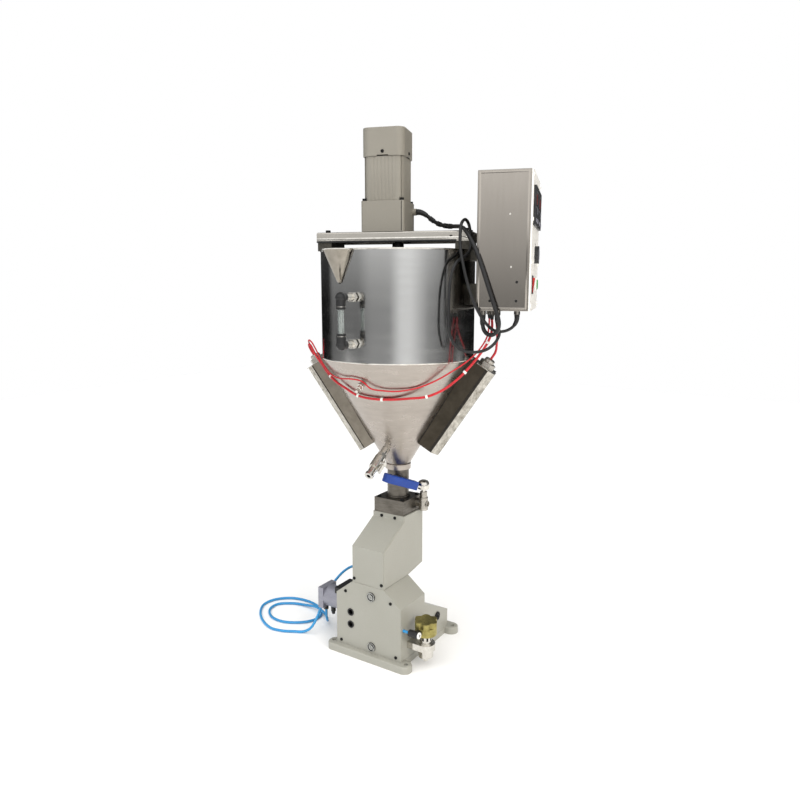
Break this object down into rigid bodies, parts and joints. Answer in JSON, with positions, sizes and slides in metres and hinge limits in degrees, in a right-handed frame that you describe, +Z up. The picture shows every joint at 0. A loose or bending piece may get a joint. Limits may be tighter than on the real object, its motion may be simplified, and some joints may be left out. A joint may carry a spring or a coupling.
{
  "type": "lipstick filling machine",
  "caption": "Bench filling machine: a heated jacketed hopper with agitator and gearmotor over a piston metering unit and a needle nozzle, with a control box at its side.",
  "frame": {"origin": "on the hopper axis, on the surface the machine stands on", "axes": "+Z up along the hopper axis, -Y towards the front plate, +X towards the nozzle"},
  "size_m": [0.6653, 0.3984, 1.098],
  "materials": {
    "paint_cream": "cream powder-like gloss paint on sheet steel",
    "zinc_screw": "zinc plated, semi-bright",
    "black_oxide": "black oxide, satin",
    "block_steel": "milled stainless, dark and satin",
    "tube_steel": "drawn stainless tube, satin",
    "pump_steel": "machined stainless, satin",
    "plated_steel": "polished",
    "lever_blue": "dipped vinyl sleeve, smooth and glossy",
    "hose_blue": "translucent-looking polyurethane air hose",
    "actuator_grey": "grey anodised",
    "fitting_black": "moulded black nylon",
    "nozzle_steel": "turned stainless",
    "olive_brass": "turned, slightly tarnished",
    "hopper_steel": "brushed stainless",
    "heater_steel": "folded stainless sheet, satin",
    "fitting_steel": "machined stainless",
    "sight_glass": "clear",
    "dark_steel": "dark mill finish",
    "gear_steel": "cut steel",
    "motor_paint": "grey-beige enamel on cast metal",
    "box_steel": "brushed stainless sheet",
    "panel_white": "off-white enamel",
    "panel_black": "moulded black",
    "switch_red": "moulded red",
    "button_green": "moulded green",
    "lead_black": "black sheath",
    "lead_red": "red silicone sheath"
  },
  "bodies": {
    "frame": {"base_plate": "paint_cream", "housing_shell": "paint_cream", "front_plate": "paint_cream", "column_casing": "paint_cream", "column_cover": "paint_cream", "rear_box": "paint_cream", "socket_screws": "zinc_screw", "ring_bolts": "black_oxide", "manifold_block": "block_steel", "outlet_tube": "tube_steel", "cock_body": "tube_steel", "feed_pipe": "tube_steel", "pump_block": "pump_steel", "metering_cylinder": "pump_steel", "air_cylinder": "actuator_grey", "air_fittings": "fitting_black", "blue_hose": "hose_blue", "nozzle_bracket": "nozzle_steel", "nozzle_body": "nozzle_steel", "nozzle_cylinder": "olive_brass", "nozzle_elbow": "fitting_black", "needle_spring": "plated_steel", "hopper_jacket": "hopper_steel", "hopper_liner": "hopper_steel", "fill_pocket": "hopper_steel", "heater_boxes": "heater_steel", "heaters": "heater_steel", "temperature_probe": "fitting_steel", "drain_body": "fitting_steel", "gauge_fittings": "fitting_steel", "sight_tube": "sight_glass", "bridge_beam": "hopper_steel", "bridge_ears": "dark_steel", "bridge_bolts": "black_oxide", "gearbox_case": "motor_paint", "motor_body": "motor_paint", "motor_cap": "motor_paint", "control_box": "box_steel", "box_brackets": "dark_steel", "control_panel": "panel_white", "temperature_controllers": "panel_black", "motor_lead": "lead_black", "power_lead": "lead_black", "heater_lead_left": "lead_red", "heater_lead_right": "lead_red", "probe_lead": "lead_red"},
    "agitator": {"agitator": "hopper_steel", "output_shaft": "dark_steel"},
    "idler": {"idler_gear": "gear_steel"},
    "rotor": {"rotor": "gear_steel"},
    "cock": {"cock_plug": "plated_steel", "cock_lever": "plated_steel", "cock_grip": "lever_blue"},
    "drain_valve": {"drain_plug": "plated_steel"},
    "piston": {"metering_piston": "plated_steel"},
    "needle": {"needle": "plated_steel"},
    "knob": {"nozzle_knob": "olive_brass"},
    "speed_dial": {"speed_dial": "panel_black"},
    "power_switch": {"power_switch": "switch_red"},
    "fill_button": {"fill_button": "button_green"}
  },
  "joints": [
    {"name": "agitator_spin", "type": "hinge", "parent": "frame", "child": "agitator", "pos_m": [0, 0, 0.866], "axis": [0, 0, 1], "continuous": true},
    {"name": "idler_spin", "type": "hinge", "parent": "frame", "child": "idler", "pos_m": [-0.01578, 0.01386, 0.93], "axis": [0, 0, 1], "continuous": true},
    {"name": "rotor_spin", "type": "hinge", "parent": "frame", "child": "rotor", "pos_m": [-0.01989, -0.00673, 1], "axis": [0, 0, 1], "continuous": true},
    {"name": "cock_turn", "type": "hinge", "parent": "frame", "child": "cock", "pos_m": [0.052, 0.022, 0.32], "axis": [0, 0, 1], "range_deg": [0, 90]},
    {"name": "drain_turn", "type": "hinge", "parent": "frame", "child": "drain_valve", "pos_m": [0.0025, -0.08424, 0.42513], "axis": [0.9996, 0.0297, 0], "range_deg": [-90, 0]},
    {"name": "metering_slide", "type": "slide", "parent": "frame", "child": "piston", "axis": [1, 0, 0], "range_m": [0, 0.04]},
    {"name": "needle_lift", "type": "slide", "parent": "frame", "child": "needle", "axis": [0, 0, 1], "range_m": [0, 0.004], "stiffness_N_per_m": 200, "springref_m": -0.02, "deforming": ["needle_spring"]},
    {"name": "knob_turn", "type": "hinge", "parent": "frame", "child": "knob", "pos_m": [0.118, -0.075, 0.098], "axis": [0, 0, 1], "range_deg": [-180, 180]},
    {"name": "dial_turn", "type": "hinge", "parent": "frame", "child": "speed_dial", "pos_m": [0.26522, 0.08977, 0.849], "axis": [0.9472, 0.3206, 0], "range_deg": [-135, 135]},
    {"name": "power_switch_rock", "type": "hinge", "parent": "frame", "child": "power_switch", "pos_m": [0.28317, 0.03673, 0.791], "axis": [-0.3206, 0.9472, 0], "range_deg": [-14, 0]},
    {"name": "fill_button_press", "type": "slide", "parent": "frame", "child": "fill_button", "axis": [-0.9472, -0.3206, 0], "range_m": [0, 0.0025], "stiffness_N_per_m": 300, "springref_m": -0.003}
  ],
  "couplings": [
    {"joint": "idler_spin", "follows": "agitator_spin", "ratio": -4},
    {"joint": "rotor_spin", "follows": "agitator_spin", "ratio": 16}
  ]
}
